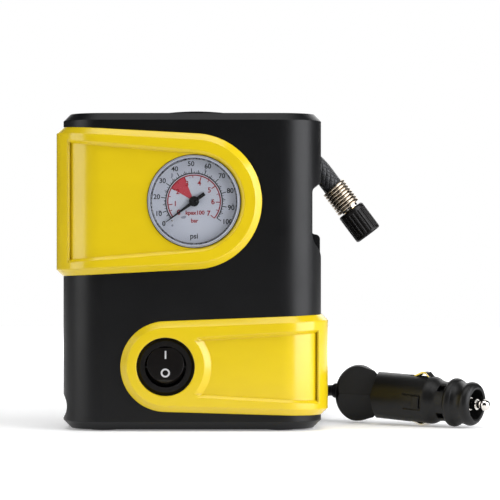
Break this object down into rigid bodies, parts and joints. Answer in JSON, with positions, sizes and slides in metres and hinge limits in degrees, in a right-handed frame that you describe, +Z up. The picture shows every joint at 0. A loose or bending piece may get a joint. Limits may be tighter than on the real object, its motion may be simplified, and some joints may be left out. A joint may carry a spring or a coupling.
{
  "type": "portable tire inflator",
  "caption": "Upright 12 V tire inflator: black housing, yellow trims, round dial gauge, round rocker switch, air hose with twist-on chuck, power cord with car plug.",
  "frame": {"origin": "middle of the footprint of the inflator itself, without its cord, hose and plug, on the surface it stands on", "axes": "+X to the right seen from the gauge side, -Y towards the gauge side, +Z up"},
  "size_m": [0.1886, 0.1661, 0.1373],
  "materials": {
    "black_shell": "fine satin texture",
    "yellow_trim": "gloss",
    "black_gloss": "gloss",
    "black_plug": "satin",
    "foot_rubber": "matte",
    "steel": "plated",
    "nickel": "bright nickel",
    "clear_lens": "clear",
    "dial_print": "satin printed",
    "needle_black": "satin",
    "brass": "plain",
    "aluminium_cast": "cast",
    "gear_nylon": "plain",
    "magnet": "plain",
    "seal_rubber": "plain",
    "hose_braid": "braided",
    "cord_pvc": "satin",
    "tie_plastic": "plain",
    "glass_fuse": "clear",
    "wire_red": "plain"
  },
  "bodies": {
    "housing": {"front_shell": "black_shell", "rear_shell": "black_shell", "upper_trim": "yellow_trim", "lower_trim": "yellow_trim", "top_cap": "black_shell", "rubber_feet": "foot_rubber", "housing_screws": "steel", "gauge_case": "steel", "gauge_lens": "clear_lens", "gauge_dial": "dial_print", "gauge_stop": "nickel", "bourdon_tube": "brass", "switch_body": "black_gloss", "switch_terminals": "brass", "motor_can": "steel", "motor_end_cap": "black_shell", "motor_magnets": "magnet", "frame_plate": "steel", "gear_axle": "steel", "motor_screws": "steel", "cylinder": "aluminium_cast", "head_gasket": "seal_rubber", "cylinder_head": "aluminium_cast", "head_screws": "steel", "outlet_valve": "seal_rubber", "valve_spring": "steel", "outlet_elbow": "brass", "gauge_tube": "seal_rubber", "wiring": "wire_red", "cord_gland": "cord_pvc", "hose_spring": "steel", "hose_ferrule": "nickel", "chuck_core": "brass", "cord_coil": "cord_pvc", "cord_tie": "tie_plastic", "plug_boot": "cord_pvc", "plug_cap": "black_plug", "plug_spring": "steel", "air_hose": "hose_braid", "cord_from_gland": "cord_pvc", "cord_to_plug": "cord_pvc", "plug_shell_front": "black_plug", "plug_shell_back": "black_plug"},
    "needle": {"gauge_needle": "needle_black"},
    "rocker": {"switch_rocker": "black_gloss"},
    "rotor": {"motor_armature": "steel", "motor_pinion": "brass"},
    "crank": {"crank_gear": "gear_nylon"},
    "piston": {"piston_rod": "aluminium_cast", "cup_seal": "seal_rubber", "crank_pin": "steel"},
    "knob": {"chuck_knob": "black_gloss", "chuck_seal": "seal_rubber"},
    "plug_tip": {"plug_pin": "nickel", "plug_fuse": "glass_fuse"},
    "contact_top": {"plug_contact_top": "nickel"},
    "contact_low": {"plug_contact_low": "nickel"}
  },
  "joints": [
    {"name": "rocker_tilt", "type": "hinge", "parent": "housing", "child": "rocker", "pos_m": [-0.01095, -0.02795, 0.02775], "axis": [1, 0, 0], "range_deg": [0, 30]},
    {"name": "needle_sweep", "type": "hinge", "parent": "housing", "child": "needle", "pos_m": [0.00115, -0.02945, 0.0984], "axis": [0, 1, 0], "range_deg": [0, 252.6], "stiffness_Nm_per_rad": 0.00002, "springref_deg": -17.19},
    {"name": "rotor_spin", "type": "hinge", "parent": "housing", "child": "rotor", "pos_m": [0, -0.00345, 0.058], "axis": [1, 0, 0], "continuous": true},
    {"name": "crank_spin", "type": "hinge", "parent": "housing", "child": "crank", "pos_m": [0.028, -0.00345, 0.034], "axis": [1, 0, 0], "continuous": true},
    {"name": "piston_stroke", "type": "slide", "parent": "housing", "child": "piston", "axis": [0, 0, 1], "range_m": [0, 0.016]},
    {"name": "knob_turn", "type": "hinge", "parent": "housing", "child": "knob", "pos_m": [0.0734, 0.02755, 0.0917], "axis": [0.599, 0, -0.8007], "continuous": true},
    {"name": "tip_press", "type": "slide", "parent": "housing", "child": "plug_tip", "axis": [-0.8202, 0.57, 0.0489], "range_m": [0, 0.002], "stiffness_N_per_m": 400, "springref_m": -0.003},
    {"name": "top_contact_press", "type": "slide", "parent": "housing", "child": "contact_top", "axis": [-0.0401, 0.0279, -0.9988], "range_m": [0, 0.0015], "stiffness_N_per_m": 150, "springref_m": -0.002},
    {"name": "low_contact_press", "type": "slide", "parent": "housing", "child": "contact_low", "axis": [0.0401, -0.0279, 0.9988], "range_m": [0, 0.0015], "stiffness_N_per_m": 150, "springref_m": -0.002}
  ],
  "couplings": [
    {"joint": "crank_spin", "follows": "rotor_spin", "ratio": -0.25}
  ]
}
